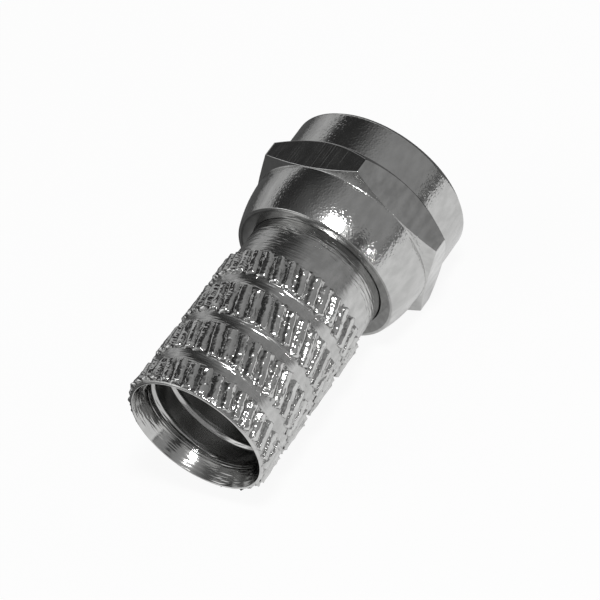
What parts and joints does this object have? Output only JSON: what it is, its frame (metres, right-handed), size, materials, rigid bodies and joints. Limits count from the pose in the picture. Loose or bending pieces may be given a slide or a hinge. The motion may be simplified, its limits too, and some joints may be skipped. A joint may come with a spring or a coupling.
{
  "type": "coaxial f connector",
  "caption": "Twist-on F-type coaxial plug: knurled body that grips the cable, with a free-turning hexagonal coupling nut.",
  "frame": {"origin": "centre of the body's seat face, the ring inside the nut that meets the socket, on the turning axis", "axes": "+X along the connector's axis, out of the nut towards the socket; +Z out of the upper hex flat of the nut; the part lies on the opposite flat"},
  "size_m": [0.0198, 0.0128, 0.011],
  "materials": {
    "body_nickel": "bright nickel plate over brass, turned and knurled",
    "nut_nickel": "bright nickel plate over brass, turned from hexagonal bar"
  },
  "bodies": {
    "body": {"connector_body": "body_nickel"},
    "nut": {"coupling_nut": "nut_nickel"}
  },
  "joints": [
    {"name": "nut_spin", "type": "hinge", "parent": "body", "child": "nut", "pos_m": [0, 0, 0], "axis": [1, 0, 0], "continuous": true}
  ]
}
